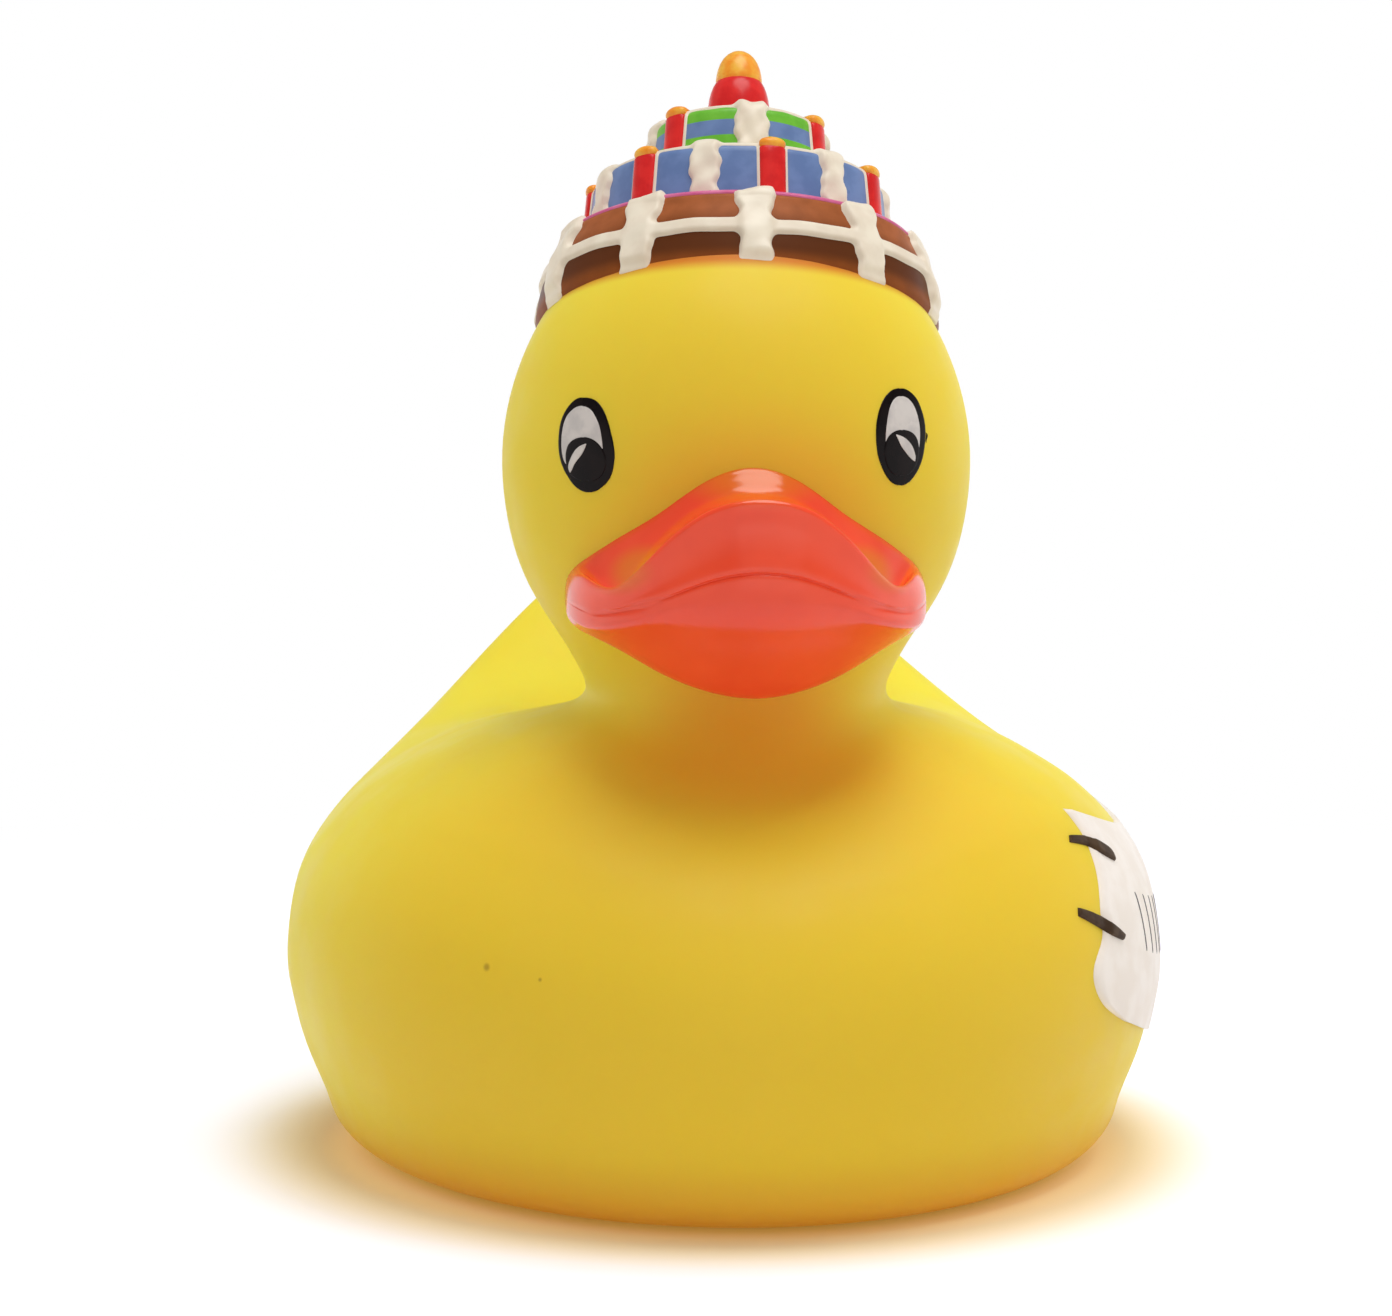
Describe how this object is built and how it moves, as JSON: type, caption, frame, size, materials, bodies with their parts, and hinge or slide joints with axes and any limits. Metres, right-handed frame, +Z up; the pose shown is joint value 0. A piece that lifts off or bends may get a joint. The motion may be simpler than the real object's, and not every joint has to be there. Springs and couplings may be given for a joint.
{
  "type": "rubber duck",
  "caption": "Hollow soft-vinyl bath duck with an upturned tail, a broad bill and a tiered cake hat topped by a candle, with a squeaker set in its flat base.",
  "frame": {"origin": "centre of the footprint, on the surface the duck stands on", "axes": "+Z up through the hat; the duck faces -Y and its left side is toward +X"},
  "size_m": [0.0755, 0.0857, 0.0939],
  "materials": {
    "yellow_vinyl": "satin soft vinyl",
    "bill_orange": "glossy paint on vinyl",
    "cake_brown": "satin paint on vinyl",
    "cake_blue": "satin paint on vinyl",
    "cake_green": "satin paint on vinyl",
    "icing_cream": "thick satin paint on vinyl",
    "icing_pink": "satin paint on vinyl",
    "candle_red": "glossy paint on vinyl",
    "flame_orange": "glossy paint on vinyl",
    "eye_black": "glossy paint on vinyl",
    "eye_white": "glossy paint on vinyl",
    "label_white": "satin paint on vinyl",
    "stitch_grey": "glossy paint on vinyl",
    "white_plastic": "smooth moulded plastic",
    "reed_plastic": "thin springy sheet"
  },
  "bodies": {
    "root": {"duck_shell": "yellow_vinyl", "squeaker_body": "white_plastic", "squeaker_block": "white_plastic", "squeaker_reed": "reed_plastic"}
  },
  "joints": []
}
